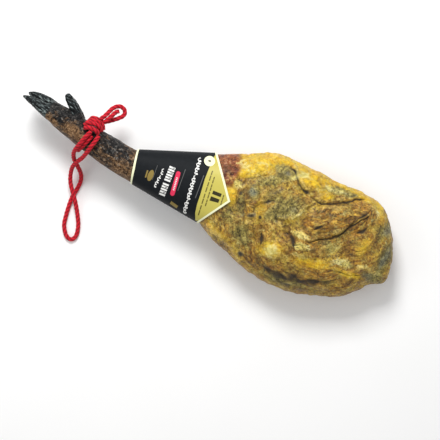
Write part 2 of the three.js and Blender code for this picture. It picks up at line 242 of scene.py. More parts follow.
class Shade:
    """A material's node tree, with short ways to add its nodes."""

    def __init__(self, name, **settings):
        self.material = bpy.data.materials.new(name)
        self.material.use_nodes = True
        self.tree = self.material.node_tree
        self.shader = self.tree.nodes["Principled BSDF"]
        self.place = self.node("TexCoord", "Object", {})
        self.feed(self.shader, {socket.replace("_", " "): value for socket, value in settings.items()})

    def feed(self, node, inputs):
        """Links each input to another node's output, or sets its own value."""
        for socket, value in inputs.items():
            if isinstance(value, bpy.types.NodeSocket):
                self.tree.links.new(value, node.inputs[socket])
            else:
                node.inputs[socket].default_value = value

    def node(self, kind, output, inputs, **settings):
        """Adds a node with its settings and inputs, and gives one of its outputs."""
        node = self.tree.nodes.new("ShaderNode" + kind)
        for key, value in settings.items():
            setattr(node, key, value)
        self.feed(node, inputs)
        return node.outputs[output]

    def attribute(self, name, output="Fac"):
        return self.node("Attribute", output, {}, attribute_name=name)

    def noise(self, size, detail=3.0, roughness=0.55, warp=0.0, place=None):
        """Noise from 0 to 1 whose lumps are about size millimetres across."""
        inputs = {"Vector": place or self.place, "Scale": 1 / (size * MM), "Detail": detail}
        return self.node("TexNoise", "Fac", {**inputs, "Roughness": roughness, "Distortion": warp})

    def stretched(self, turn, stretch):
        """Coordinates turned by degrees about Z and drawn out along the turned X."""
        inputs = {"Vector": self.place, "Rotation": (0, 0, math.radians(turn)), "Scale": (stretch, 1, 1)}
        return self.node("Mapping", "Vector", inputs, vector_type="TEXTURE")

    def math(self, operation, a, b=0.0, c=0.0):
        return self.node("Math", "Value", {0: a, 1: b, 2: c}, operation=operation)

    def times(self, value, factor, plus=0.0):
        """value times factor, plus a number."""
        return self.math("MULTIPLY_ADD", value, factor, plus)

    def average(self, *values):
        total = values[0]
        for value in values[1:]:
            total = self.math("ADD", total, value)
        return self.times(total, 1 / len(values))

    def step(self, value, low, high):
        """0 below low, 1 above high and smooth between."""
        inputs = {"Value": value, "From Min": low, "From Max": high}
        return self.node("MapRange", "Result", inputs, interpolation_type="SMOOTHSTEP")

    def lines(self, value, width):
        """1 along the lines where a noise is in its middle, falling to 0 width away in value."""
        apart = self.math("ABSOLUTE", self.times(value, 1.0, -0.5))
        return self.times(self.step(apart, 0, width), -1.0, 1.0)

    def broken(self, mask, grain, reach, soft):
        """A mask from 0 to 1 whose edge the grain breaks up: higher grain lets more through."""
        pushed = self.math("ADD", mask, self.times(grain, 2 * reach, -reach))
        return self.step(pushed, 0.5 - soft, 0.5 + soft)

    def mix(self, share, first, second, blend="MIX"):
        inputs = {"Factor": share, "A": first, "B": second}
        return self.node("Mix", "Result", inputs, data_type="RGBA", blend_type=blend)

    def ramp(self, value, stops):
        """Colours along value, given as (place, colour) from low to high."""
        colours = self.node("ValToRGB", "Color", {"Fac": value})
        elements = colours.node.color_ramp.elements
        while len(elements) < len(stops):
            elements.new(0.5)
        for element, (place, colour) in zip(elements, stops):
            element.position = place
            element.color = colour
        return colours

    def bump(self, *heights):
        """Raises the surface by each (height, millimetres) in turn."""
        normal = {}
        for height, distance in heights:
            inputs = {"Height": height, "Distance": distance * MM, **normal}
            normal = {"Normal": self.node("Bump", "Normal", inputs)}
        self.feed(self.shader, normal)

    def finish(self, colour, roughness):
        self.feed(self.shader, {"Base Color": colour, "Roughness": roughness})
        return self.material


def tones(shade, value, colours, spread):
    """Colours from dark to pale along a noise value, spread about its middle."""
    places = np.linspace(0.5 - spread, 0.5 + spread, len(colours))
    return shade.ramp(value, [(place, tone(*colour)) for place, colour in zip(places, colours)])


def layered(shade, colour, noises, layers):
    """Lays layers over a colour, each through its mask with an edge that a noise breaks up."""
    for mask, (colours, spread, along, grain, reach, soft) in layers.items():
        share = shade.broken(shade.attribute(mask), noises[grain], reach, soft)
        colour = shade.mix(share, colour, tones(shade, noises[along], colours, spread))
    return colour


GRIME_AND_SHADE = (0.34, 0.56)  # where along the grain the dirt and painted shade give way to painted highlight


def grimed_and_shaded(shade, colour, share, grain, hollow, crest):
    """Multiplies a colour by hollow where the grain is low, and by crest where it is high."""
    # The grain also drives the bump: hollow is dirt with painted shade in its lows, crest is painted
    # highlight on its tops.
    grime_and_shade = shade.mix(shade.step(grain, *GRIME_AND_SHADE), (*hollow, 1), (*crest, 1))
    return shade.mix(share, colour, grime_and_shade, "MULTIPLY")


# Colours from dark to pale, and how far they spread along their noise.
OCHRE = ([(66, 48, 16), (134, 104, 36), (182, 146, 42), (212, 178, 56), (238, 216, 112)], 0.14)
UMBER = ([(60, 38, 14), (126, 86, 30), (176, 128, 40), (218, 176, 72)], 0.14)
HIDE = ([(3, 3, 4), (12, 11, 12), (42, 41, 41), (118, 114, 108)], 0.17)

# What lies over them, by mask: colours, spread, the colours' noise, and the edge's noise, reach and
# softness.
MEAT_LAYERS = {
    "rind": ([(96, 60, 22), (156, 108, 34), (204, 156, 52)], 0.15, "blend", "wide", 0.3, 0.3),
    "lean": (
        [(54, 32, 10), (124, 78, 22), (178, 124, 34), (234, 190, 78)], 0.15, "streaks", "other", 0.6, 0.45
    ),
    "gold": (
        [(182, 118, 4), (214, 164, 10), (238, 200, 30), (252, 230, 116)], 0.18, "blend", "other", 0.4, 0.45
    ),
    "mould": (
        [(44, 40, 24), (100, 90, 44), (152, 138, 70), (190, 178, 104)], 0.13, "mottle", "other", 0.9, 0.5
    ),
    "slate": ([(70, 76, 70), (112, 116, 98), (150, 150, 120)], 0.2, "small", "small", 0.6, 0.4),
    "red": ([(52, 18, 8), (116, 50, 22), (158, 86, 46), (232, 192, 160)], 0.15, "blend", "small", 0.5, 0.4),
    # pale: pale fat and bone, and painted highlights as whitish glints on the gold fat and the red skin
    "pale": ([(198, 176, 74), (230, 216, 124), (250, 243, 188)], 0.13, "mottle", "other", 0.9, 0.45),
    # hollow: painted shade in the relief's hollows, partly dirt
    "hollow": ([(52, 36, 16), (92, 66, 28)], 0.2, "fine", "small", 0.5, 0.5),
    # crest: painted highlight on the relief's tops, partly polish
    "crest": ([(216, 176, 72), (244, 220, 132)], 0.2, "fine", "small", 0.8, 0.6),
    # dark: the meat's own dark spots, and painted shade in creases, crevices and the band low on the meat
    "dark": ([(26, 21, 14), (66, 52, 32)], 0.2, "fine", "small", 0.55, 0.45),
}
HIDE_LAYERS = {
    "tan": ([(34, 22, 15), (90, 66, 46), (142, 110, 76), (184, 152, 116)], 0.2, "small", "other", 1.2, 0.35),
    # horn: dark horn with grain streaks, whose palest tone is painted glints
    "horn": ([(1, 2, 3), (6, 8, 10), (40, 48, 50), (140, 152, 150)], 0.15, "grain", "small", 0.2, 0.3),
    "sole": ([(60, 68, 64), (120, 132, 126), (176, 188, 180)], 0.2, "grain", "small", 0.6, 0.3),
    # hollow: painted shade in the hide's hollows, partly dirt
    "hollow": ([(4, 4, 5), (20, 17, 15)], 0.2, "fine", "small", 0.5, 0.5),
}


def meat_noises(shade):
    """The noises of the meat by name. Bands and streaks follow the meat's fibres."""
    flow = shade.attribute("flow", "Vector")
    noises = {
        "wide": shade.noise(21, 5, 0.62, 0.9),
        "small": shade.noise(5.5, 5, 0.7, 0.9),
        "other": shade.noise(9, 5, 0.68, 1.1),
        "fine": shade.noise(1.7, 3, 0.6),
        "streaks": shade.noise(5.5, 5, 0.66, 0.5, flow),
    }
    bands = shade.noise(15, 5, 0.68, 1.0, flow)
    noises["mottle"] = shade.average(noises["small"], noises["other"], bands, bands)
    noises["blend"] = shade.average(noises["wide"], noises["small"])
    along = shade.lines(shade.noise(34, 3, 0.5, 1.2, flow), 0.014)
    across = shade.lines(shade.noise(26, 3, 0.5, 1.5), 0.012)
    noises["wrinkles"] = shade.math("MAXIMUM", along, across)
    return noises


def ham_material():
    """Cured fat, lean, skin and mould of the meat, told apart by the masks on the mesh."""
    shade = Shade("ham_surface", Coat_Weight=0.06, Coat_Roughness=0.2, Specular_IOR_Level=0.34)
    noises = meat_noises(shade)
    umber, ochre = (tones(shade, noises["mottle"], *shades) for shades in (UMBER, OCHRE))
    colour = shade.mix(shade.step(noises["wide"], 0.42, 0.58), umber, ochre)
    colour = layered(shade, colour, noises, MEAT_LAYERS)
    spots = shade.step(shade.noise(3.4, 2, 0.5), 0.6, 0.7)
    colour = shade.mix(shade.math("MULTIPLY", spots, shade.attribute("speckled")), colour, tone(56, 50, 34))
    bare = shade.times(shade.attribute("gold"), -0.42, 0.6)
    # Dirt and painted shade where the bumped small noise is low, painted highlight where it is high, less on
    # the gold.
    colour = grimed_and_shaded(shade, colour, bare, noises["small"], (0.52, 0.48, 0.42), (1.3, 1.29, 1.16))
    # Painted shade darkens the wrinkles, whose grooves the bump sinks; less on the gold.
    lined = shade.math("MULTIPLY", noises["wrinkles"], bare)
    colour = shade.mix(lined, colour, (0.32, 0.26, 0.18, 1), "MULTIPLY")

    shine = shade.times(noises["other"], 0.3, 0.24)
    dull = shade.times(shade.attribute("mould"), 0.14)
    fibrous = shade.math("MULTIPLY", noises["streaks"], shade.attribute("fibrous"))
    coarse = ((noises["small"], 1.7), (noises["other"], 2.2), (fibrous, 2.8))
    shade.bump(*coarse, (noises["wrinkles"], -0.8), (noises["fine"], 0.4))
    return shade.finish(colour, shade.math("ADD", shine, dull))


def hide_material():
    """Dark hide of the shank with bare tan patches, and the horn of the claws."""
    shade = Shade("shank_hide", Specular_IOR_Level=0.13)
    noises = {
        "small": shade.noise(5, 5, 0.7, 0.9),
        "other": shade.noise(9, 5, 0.66, 1.0, shade.stretched(-18, 1.8)),
        "fine": shade.noise(1.9, 3, 0.62),
        "grain": shade.noise(2.8, 4, 0.66, 0.5, shade.stretched(-18, 5)),
    }
    colour = layered(shade, tones(shade, noises["small"], *HIDE), noises, HIDE_LAYERS)
    # Dirt and painted shade where the bumped small noise is low.
    colour = grimed_and_shaded(shade, colour, 0.8, noises["small"], (0.45, 0.42, 0.4), (1, 1, 1))
    shade.bump((noises["small"], 1.6), (noises["grain"], 0.7), (noises["fine"], 0.5))
    return shade.finish(colour, shade.times(noises["other"], 0.3, 0.3))


# ---- The leg ----

LEG_VOXEL = 2.0
SMOOTH_MEAT = 36  # rounds of smoothing, which take the CAD part's flat facets away
SMOOTH_TROTTER = 8
TROTTER_TO, TROTTER_BLEND = -268, 20  # the trotter's X ends here, and blends over this reach
HIDE_TO = -60  # the hide ends here, under the sleeve

# The streaks of the meat: ends of the long muscle in plan, how many times longer than wide they are,
# how far their two sides and their depths differ, and how far they waver.
FLOW = {"foci": ((202, -2), (318, 72)), "stretch": 5, "apart": 0.2, "depth": 0.5, "warp": 15}
FIBROUS = ((266, 38), (66, 27), 34)  # where the fibres show: centre, half axes and degrees turned

# Creases of the meat: path, width and depth.
CREASES = [
    ([(147, 113), (158, 102), (170, 90), (182, 79), (191, 71)], 3.6, 4.2),
    ([(198, 68), (212, 64), (229, 63), (244, 68), (258, 76), (271, 83), (284, 89), (307, 106)], 3.0, 3.6),
    ([(231, -16), (250, -7), (266, 3), (289, 22), (300, 40), (308, 52), (324, 74)], 3.2, 3.8),
    ([(183, -20), (193, -19), (203, -26), (209, -36), (213, -46)], 4.4, 2.2),
    ([(206, -33), (220, -27), (235, -22)], 2.0, 2.4),
    ([(136, -36), (141, -46), (145, -58)], 5.0, 2.0),
    ([(232, 10), (240, 20), (252, 27)], 2.6, 2.2),
    ([(296, 40), (309, 62), (322, 84)], 2.6, 2.4),
    ([(314, 32), (325, 42), (330, 52)], 4.0, 2.0),
    ([(166, -98), (184, -102), (199, -97), (217, -100)], 4.0, 0.9),
    ([(224, -92), (246, -95), (263, -87), (284, -84), (309, -72)], 4.0, 0.9),
    ([(88, 4), (94, -12), (100, -32)], 3.0, 2.0),
    ([(104, -4), (112, 12), (122, 24), (140, 34)], 2.8, 1.6),
    ([(300, -52), (326, -50), (352, -42)], 2.6, 1.8),
    ([(56, 52), (75, 56), (96, 66), (112, 80)], 2.6, 1.5),
]

# Ridges of the meat: path, width and height.
RIDGES = [
    ([(154, 112), (162, 103), (170, 95), (184, 84), (190, 78)], 4.4, 3.4),
    ([(198, -12), (212, -8), (228, -11)], 7.0, 3.0),
    ([(212, -34), (222, -31), (232, -28)], 6.0, 2.6),
    ([(160, 4), (176, 8), (190, 19), (200, 36), (207, 52)], 5.0, 2.6),
    ([(335, -36), (344, -26), (353, -21), (366, -22), (378, -26)], 5.0, 2.4),
    ([(30, -58), (50, -66), (71, -74), (96, -90), (121, -104)], 7.0, 2.0),
    ([(210, 58), (236, 56), (262, 68), (290, 80)], 4.0, 1.6),
    ([(243, -94), (276, -94), (309, -90)], 5.0, 1.8),
]

# Lumps of fat and bone: centre, half axes, degrees turned and height.
LUMPS = [
    ((172, -60), (20, 14), 20, 3.6),
    ((168, -74), (14, 7), -10, 2.0),
    ((84, 86), (26, 12), 22, 1.8),
    ((52, 62), (11, 8), 0, 1.6),
    ((118, 68), (16, 10), 30, 1.6),
    ((262, 40), (30, 12), 36, 1.8),
    ((337, 10), (16, 26), -20, 2.0),
    ((300, -28), (22, 10), 10, 1.4),
    ((118, 14), (15, 20), 20, 1.6),
]

# Paint of the meat: which mask, and its patches as X, Y, two half axes, degrees turned and strength.
PATCHES = {
    "gold": [
        (84, 84, 42, 16, 20, 1), (62, 62, 18, 12, 10, 0.8), (196, 98, 34, 12, -18, 1.1),
        (180, 106, 16, 12, 0, 0.9), (234, 77, 12, 5, 20, 0.8), (53, 12, 11, 23, 25, 1.2),
        (121, 12, 13, 20, 15, 0.55), (173, -60, 20, 15, 20, 1.1), (96, -86, 34, 9, -38, 0.5),
        (48, -62, 26, 7, -25, 0.5), (261, -51, 30, 10, 8, 0.9), (225, -62, 30, 8, 5, 0.5),
        (186, 12, 24, 6, 45, 0.6), (92, 102, 60, 9, 16, 1), (337, 12, 13, 22, -15, 0.7),
        (331, -47, 26, 7, 8, 1), (345, 90, 32, 8, -38, 0.8), (205, 108, 50, 9, -6, 1),
        (290, 108, 34, 6, -4, 0.7), (150, -62, 12, 22, -30, 0.4),
    ],
    "lean": [
        (266, 40, 62, 24, 34, 0.95), (310, 62, 26, 18, 50, 0.8), (337, 10, 17, 26, -15, 0.9),
        (255, -2, 30, 12, 30, 0.6), (150, -86, 26, 14, -25, 0.7), (240, -96, 60, 6, 6, 0.7),
        (331, -44, 20, 6, 10, 0.8), (300, -62, 34, 10, 14, 0.9), (70, -52, 26, 14, -30, 0.6),
        (180, 50, 16, 18, 20, 0.45), (84, -20, 14, 22, 15, 0.4),
    ],
    "mould": [
        (140, 91, 22, 15, 10, 0.95), (118, 66, 20, 9, 32, 0.8), (96, 34, 11, 12, 0, 0.8),
        (171, 28, 26, 19, 28, 0.85), (150, 8, 17, 14, 10, 0.6), (80, 4, 8, 22, 22, 0.75),
        (246, 98, 26, 7, 8, 0.9), (280, 98, 12, 5, 20, 0.9), (368, 60, 13, 24, -25, 0.6),
        (388, 8, 12, 34, -12, 0.75), (380, -34, 20, 12, -10, 0.7), (102, -52, 24, 17, -30, 0.6),
        (278, -8, 16, 12, 10, 0.55), (222, -106, 50, 8, 6, 0.6), (64, -28, 12, 16, 15, 0.4),
        (134, 40, 16, 12, 30, 0.5),
    ],
    "slate": [
        (95, 34, 8, 9, 0, 0.9), (116, -89, 6, 5, 0, 0.8), (108, -8, 8, 5, 20, 0.6),
        (143, 93, 10, 5, 10, 0.5), (372, 62, 9, 16, -25, 0.6), (386, 4, 8, 22, -10, 0.7),
        (366, -38, 18, 10, -15, 0.5), (180, 30, 9, 6, 30, 0.45), (300, -36, 10, 4, 15, 0.4),
        (262, 98, 8, 3, 10, 0.5), (200, -104, 14, 4, 5, 0.5),
    ],
    # Pale: pale fat and bone lumps, and painted highlights as whitish glints on the gold fat and the red
    # skin.
    "pale": [
        (172, -62, 13, 13, 10, 0.9), (210, -11, 16, 6, 12, 1), (222, -30, 15, 7, 15, 1),
        (310, -31, 18, 7, 12, 0.85), (168, 97, 5, 17, -44, 1.1), (61, 38, 10, 8, 0, 0.7),
        (60, 78, 11, 4, 25, 0.55), (92, 93, 12, 4, 10, 0.55), (340, 89, 9, 5, -35, 0.6),
        (190, 20, 13, 3, 50, 0.6), (224, -50, 14, 5, 0, 0.5), (353, -21, 14, 4, 10, 0.6),
        (380, -28, 10, 8, -10, 0.45), (230, 98, 8, 5, 0, 0.7), (256, 99, 9, 4, 10, 0.6),
        (48, 82, 12, 3, 40, 0.6), (77, 72, 12, 3, -10, 0.5), (178, 106, 16, 4, -20, 0.6),
    ],
    "red": [
        (22, 70, 30, 19, 12, 1.2), (34, 52, 17, 15, 0, 1), (40, 33, 12, 9, -20, 0.7),
        (10, 84, 26, 8, 22, 0.9),
    ],
    # Dark: the meat's own dark spots, and painted shade in crevices, in soft arcs beside lumps and along the
    # band low on the meat.
    "dark": [
        (32, 58, 13, 9, -20, 0.45), (134, 84, 9, 5, 15, 0.6), (146, 96, 9, 6, -20, 0.4),
        (150, 106, 8, 3, -20, 0.6), (191, 73, 5, 4, 0, 0.9), (71, 22, 5, 4, 0, 0.9),
        (106, -10, 6, 4, 20, 0.8), (124, -10, 3.5, 3.5, 0, 1), (116, -89, 6, 6, 0, 0.8),
        (142, -47, 7, 11, 12, 0.55), (203, -27, 6, 9, 30, 0.4), (240, -62, 6, 4, 20, 0.5),
        (282, 99, 8, 3, 22, 0.7), (323, 40, 9, 5, 40, 0.7), (238, 18, 8, 3.4, 30, 0.8),
        (312, 72, 5, 8, -30, 0.6), (378, 16, 5, 9, -15, 0.5), (92, 48, 8, 3, 40, 0.6),
        (132, 30, 7, 3, 20, 0.6), (152, 46, 6, 3, -20, 0.5), (244, -28, 6, 4, 30, 0.6),
        (176, -98, 11, 5, -20, 0.5), (202, -103, 13, 4, 10, 0.45), (226, -92, 9, 6, 40, 0.5),
        (247, -97, 12, 4, 0, 0.5), (270, -87, 13, 5, 25, 0.5), (297, -79, 12, 4, 30, 0.5),
        (236, -95, 76, 8, 8, 0.42), (148, -88, 16, 8, -30, 0.55), (220, -114, 44, 6, 5, 0.35),
    ],
}
PATCH_EDGE = 0.75


def remeshed_leg():
    """The CAD leg as an even mesh, with its facets smoothed away."""
    piece = placed("ham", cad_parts["ham_leg"].data.copy())
    bpy.context.view_layer.objects.active = piece
    remesh = piece.modifiers.new("remesh", "REMESH")
    remesh.mode = "VOXEL"
    remesh.voxel_size = LEG_VOXEL * MM
    remesh.use_smooth_shade = True
    bpy.ops.object.modifier_apply(modifier=remesh.name)
    trotter_ends = (TROTTER_TO - TROTTER_BLEND, TROTTER_TO + TROTTER_BLEND)
    for name, rounds, trotter in (("all", SMOOTH_TROTTER, True), ("meat", SMOOTH_MEAT, False)):
        group = piece.vertex_groups.new(name=name)
        for vertex in piece.data.vertices:
            weight = 1.0 if trotter else smoothstep(*trotter_ends, vertex.co.x / MM)
            group.add([vertex.index], float(weight), "REPLACE")
        smooth = piece.modifiers.new(name, "SMOOTH")
        smooth.factor = 0.5
        smooth.iterations = rounds
        smooth.vertex_group = group.name
        bpy.ops.object.modifier_apply(modifier=smooth.name)
    piece.vertex_groups.clear()
    return piece


def mesh_arrays(piece):
    """The points in millimetres and the normals of a mesh."""
    points = np.zeros(len(piece.data.vertices) * 3)
    piece.data.vertices.foreach_get("co", points)
    normals = np.zeros(len(points))
    piece.data.vertex_normals.foreach_get("vector", normals)
    return points.reshape(-1, 3) / MM, normals.reshape(-1, 3)


GROOVE = 0.75  # share of a crease's depth that its groove sinks by
LIP = 0.4  # share of it that the groove's side swells by


def meat_relief(points, plan, upper):
    """How far the meat's surface stands out in its large and in its small forms, in millimetres."""
    large = 3.4 * fractal(points, 44, 3)
    small = 2.4 * fractal(points, 18, 7, 3)
    small += 1.1 * fractal(points, 8.5, 19, 2)
    small += 1.6 * patch_mask(plan, *FIBROUS, 0.5) * fractal(flow_place(points), 7, 11, 3)
    for centre, size, turn, tall in LUMPS:
        large += upper * tall * patch_mask(plan, centre, size, turn, 0.8)
    for path, width, depth in CREASES:
        small -= upper * GROOVE * depth * line_mask(plan, path, 0.8 * width)
        small += upper * LIP * depth * fold_lip(plan, path, width)
    for path, width, tall in RIDGES:
        small += upper * tall * line_mask(plan, path, width)
    return large, small


def shank_relief(points):
    """Wrinkles that run along the shank and the trotter, in millimetres."""
    drawn = points * np.array([0.22, 1, 1])
    return 0.9 * fractal(drawn, 8, 23, 3) + 0.5 * fractal(points, 7, 29, 2)


BACK_OUTLINE = [(-10, 88), (45, 98), (95, 121), (145, 127), (220, 120), (295, 116), (345, 106)]


def back_edge(points, plan):
    """1 along the fat back of the meat, where the skin is smooth and golden."""
    distance, _ = to_path(plan, BACK_OUTLINE)
    return (1 - smoothstep(4, 16, distance)) * smoothstep(34, 68, points[:, 2])


DEWCLAWS = [[(-292, 52), (-326.5, 82.5)], [(-290, 52), (-322, 79)]]  # root and tip of each in plan
DEWCLAW_RADIUS = 10.5
TAN_PATCHES = [((-332, 20), (14, 6)), ((-303, 20), (13, 9)), ((-284, 24), (10, 12)), ((-266, 12), (12, 9))]


def on_dewclaws(points):
    """1 on the two dewclaws."""
    best = np.zeros(len(points))
    for path in DEWCLAWS:
        distance, share = to_path(points[:, :2], path)
        best = np.maximum(best, np.where(share > 0.02, smoothstep(DEWCLAW_RADIUS, 8, distance), 0))
    return best


def paint_trotter(masks, points):
    """Masks of the shank's hide, of the claws past a slanting ragged line, and of their inner faces."""
    x, y, z = points.T
    ripple = fractal(points, 22, 43, 3)
    claws = 1 - smoothstep(-350, -342, x + 6 * noise(points, 9, 51) - 0.25 * (y - 40))
    masks["horn"] = np.maximum(claws, on_dewclaws(points))
    inner = smoothstep(3, 8, y - 0.17 * (x + 410) - 46)
    masks["sole"] = claws * inner * smoothstep(78, 84, z + 0.4 * (y - 50))
    belly = smoothstep(-0.2, 0.9, -(y - 24 + 0.26 * (x + 255)) / 26)
    masks["tan"] = 0.1 + 0.36 * belly + 0.25 * ripple
    for centre, size in TAN_PATCHES:
        masks["tan"] += 0.4 * patch_mask(points[:, :2], centre, size, -15, 0.7)
    masks["tan"] += 0.3 * smoothstep(-214, -160, x)


def paint_leg(piece, points, plan, upper, meat, small_relief):
    """Writes the masks that the leg's material reads."""
    ripple = fractal(points, 20, 41, 3)
    masks = {name: np.zeros(len(points)) for name in PATCHES}
    for name, patches in PATCHES.items():
        for x, y, long, short, turn, strength in patches:
            masks[name] += strength * patch_mask(plan, (x, y), (long, short), turn, PATCH_EDGE)
        masks[name] = np.clip(masks[name], 0, 1.2) * upper
    # Painted shade along each crease, darker for deeper ones and broken up by a noise.
    broken = 0.9 + 0.6 * fractal(points, 13, 83, 2)
    for path, width, depth in CREASES:
        masks["dark"] += upper * broken * min(1, depth / 3.4) * line_mask(plan, path, width * 0.55)
    masks["fibrous"] = 0.15 + 0.85 * patch_mask(plan, *FIBROUS, 0.6)
    masks["mould"] += meat * (0.3 + 0.3 * ripple)
    masks["lean"] += meat * upper * (0.3 - 0.4 * ripple)
    edge = back_edge(points, plan)
    skin_end = smoothstep(50, 28, plan[:, 0]) * smoothstep(30, 60, plan[:, 1])
    masks["red"] += (1 - upper) * skin_end * (0.8 + 0.7 * ripple)
    masks["gold"] += edge * (0.85 + 0.5 * ripple) * (1 - np.clip(masks["red"], 0, 1))
    masks["rind"] = meat * (1 - upper) * 1.1
    masks["speckled"] = meat * (1 - np.clip(masks["gold"], 0, 1)) * 0.8
    # Painted shade in the relief's hollows, partly dirt, weaker along the fat back.
    masks["hollow"] = 0.8 * smoothstep(0.3, 2.6, -small_relief) * (1 - 0.7 * edge)
    # Painted highlight on the relief's tops, partly polish.
    masks["crest"] = meat * 0.45 * smoothstep(0.5, 2.8, small_relief)
    paint_trotter(masks, points)
    for name, values in masks.items():
        set_attribute(piece, name, values)
    set_attribute(piece, "flow", flow_place(points) * MM)


ROPE_AT, ROPE_REACH = -252, 22  # the relief is flatter under the rope, so that it stays clear
CARD_SINK = 0.6  # how far the skin sinks under the card


def make_leg():
    """The whole leg, with its folds, wrinkles and paint."""
    piece = remeshed_leg()
    points, normals = mesh_arrays(piece)
    warp = np.column_stack([fractal(points, 26, 61), fractal(points, 26, 71)])
    plan = points[:, :2] + 5 * warp
    upper = smoothstep(-0.05, 0.45, normals[:, 2])
    meat = smoothstep(-30, 40, points[:, 0])
    large, small = meat_relief(points, plan, upper)
    small = meat * small + (1 - meat) * shank_relief(points)
    near_rope = np.exp(-(((points[:, 0] - ROPE_AT) / ROPE_REACH) ** 2))
    tip = points[:, 0] + 0.6 * np.abs(points[:, 1])
    under_card = smoothstep(-170, -150, points[:, 0]) * (1 - smoothstep(20, 70, tip))
    free = (1 - 0.75 * near_rope) * (1 - 0.8 * under_card)
    relief = (meat * large + small) * free - CARD_SINK * under_card
    resting = smoothstep(0.5, 10, points[:, 2])
    moved = points + normals * (relief * resting)[:, None]
    moved[:, 2] = np.maximum(moved[:, 2], 0)
    piece.data.vertices.foreach_set("co", (moved * MM).ravel())
    piece.data.update()
    paint_leg(piece, points, plan, upper, meat, small)
    piece.data.materials.clear()
    piece.data.materials.append(ham_material())
    piece.data.materials.append(hide_material())
    for face in piece.data.polygons:
        face.material_index = int(face.center.x < HIDE_TO * MM)
    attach(piece, "root")
    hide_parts("ham_leg")


# ---- The rope ----

STRANDS = 3
STRAND_PITCH = 27.0  # length of rope in which a strand goes once round
ROPE_SIDES = 30
ROPE_STEP = 0.9
VALLEY = 0.2  # how far the skin sinks between two strands, as a share of the radius
TURNED = 1.3  # radians by which each route's strands are turned against the one before


def smooth_route(points, step):
    """Points about step apart on the Catmull-Rom curve through points."""
    corners = np.array(points, float)
    padded = np.vstack([2 * corners[0] - corners[1], corners, 2 * corners[-1] - corners[-2]])
    route = []
    for i in range(len(corners) - 1):
        a, b, c, d = padded[i : i + 4]
        count = max(2, round(np.linalg.norm(c - b) / step))
        for t in np.arange(count) / count:
            rise, fall = (c - a) / 2, (d - b) / 2
            cubic = 2 * b - 2 * c + rise + fall
            square = -3 * b + 3 * c - 2 * rise - fall
            route.append(((cubic * t + square) * t + rise) * t + b)
    route.append(corners[-1])
    return np.array(route)


def route_length(route):
    return float(travelled(route)[-1])


def twisted_rope(route, turned):
    """The skin of a laid rope round a route: points, faces and how far each point is up a strand."""
    tangents = np.gradient(route, axis=0)
    tangents /= np.linalg.norm(tangents, axis=1)[:, None]
    side = np.cross(tangents[0], (0, 0, 1.0))
    if np.linalg.norm(side) < 0.1:
        side = np.cross(tangents[0], (0, 1.0, 0))
    around = np.linspace(0, 2 * math.pi, ROPE_SIDES, endpoint=False)
    points, crest = [], []
    for centre, tangent, distance in zip(route, tangents, travelled(route)):
        side -= tangent * (side @ tangent)
        side /= np.linalg.norm(side)
        up = np.cross(tangent, side)
        lay = around - 2 * math.pi * distance / STRAND_PITCH + turned
        lobe = np.abs(np.cos(lay * STRANDS / 2)) ** 0.7
        radius = ROPE["diameter"] / 2 * (1.02 - VALLEY * (1 - lobe))
        ring = centre + radius[:, None] * (np.outer(np.cos(around), side) + np.outer(np.sin(around), up))
        points.extend(ring)
        crest.extend(lobe)
    faces = grid_faces(len(route), ROPE_SIDES, closed=True)
    last = (len(route) - 1) * ROPE_SIDES
    faces.append(tuple(range(ROPE_SIDES - 1, -1, -1)))
    faces.append(tuple(range(last, last + ROPE_SIDES)))
    return np.array(points), faces, np.array(crest)


def rope_object(name, routes, material):
    """One object of one or more laid ropes."""
    points, faces, crest = [], [], []
    for number, route in enumerate(routes):
        skin, sides, lobe = twisted_rope(route, TURNED * number)
        start = sum(len(p) for p in points)
        faces += [tuple(i + start for i in face) for face in sides]
        points.append(skin)
        crest.append(lobe)
    piece = new_object(name, np.vstack(points), faces)
    set_attribute(piece, "crest", np.concatenate(crest))
    piece.data.materials.append(material)
    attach(piece, "root")
    return piece


def rope_material():
    """Red yarn: fine slanting threads, with painted shade between the strands and the paler yarn red on
    their crests.
    """
    shade = Shade("red_yarn", Sheen_Weight=0.05, Sheen_Roughness=0.5, Specular_IOR_Level=0.2)
    crest = shade.attribute("crest")
    threads = shade.noise(1.1, 2, 0.5)
    tufts = shade.noise(6, 3, 0.6)
    # Painted shade: dark red between the strands, the yarn's own red on their crests.
    shaded = tones(shade, crest, [(62, 3, 12), (150, 10, 26), (206, 24, 42)], 0.45)
    lit = shade.mix(shade.step(threads, 0.5, 0.8), shaded, tone(232, 60, 72))
    worn = shade.mix(shade.times(shade.step(tufts, 0.45, 0.75), 0.5), lit, tone(112, 8, 22))
    shade.bump((threads, 0.6), (tufts, 0.4))
    return shade.finish(worn, 0.78)


def round_ankle(x, degrees, clear):
    """A point round the ankle at x, degrees from the back edge over the top, clear of the skin."""
    size = {key: base + slope * (x - ANKLE_X) for key, (base, slope) in ANKLE.items()}
    angle = math.radians(degrees)
    y = size["y"] + (size["half_y"] + clear) * math.cos(angle)
    z = size["z"] + (size["half_z"] + clear) * math.sin(angle)
    return (x, y, z)


def ring_route():
    """The ring round the ankle, as the CAD part has it."""
    clear = ROPE["diameter"] / 2 + ROPE["gap"]
    points = []
    for degrees in np.arange(RING["from"], RING["to"] + 0.1, RING["step"]):
        lean = RING["lean"] * math.sin(math.radians(degrees - RING["leans_at"]))
        points.append(round_ankle(RING["x"] - lean, degrees, clear))
    return smooth_route(points, ROPE_STEP)


def knot_route(turn):
    """One turn of the knot, which arches along the leg over the strands."""
    low = ROPE["diameter"] / 2 + ROPE["gap"]
    points = []
    for along, share in KNOT_ARCH:
        height = low if share is None else share * turn["clear"]
        degrees = turn["degrees"] + along * turn["slant"]
        points.append(round_ankle(turn["x"] + along * turn["reach"], degrees, height))
    return smooth_route(points, ROPE_STEP)


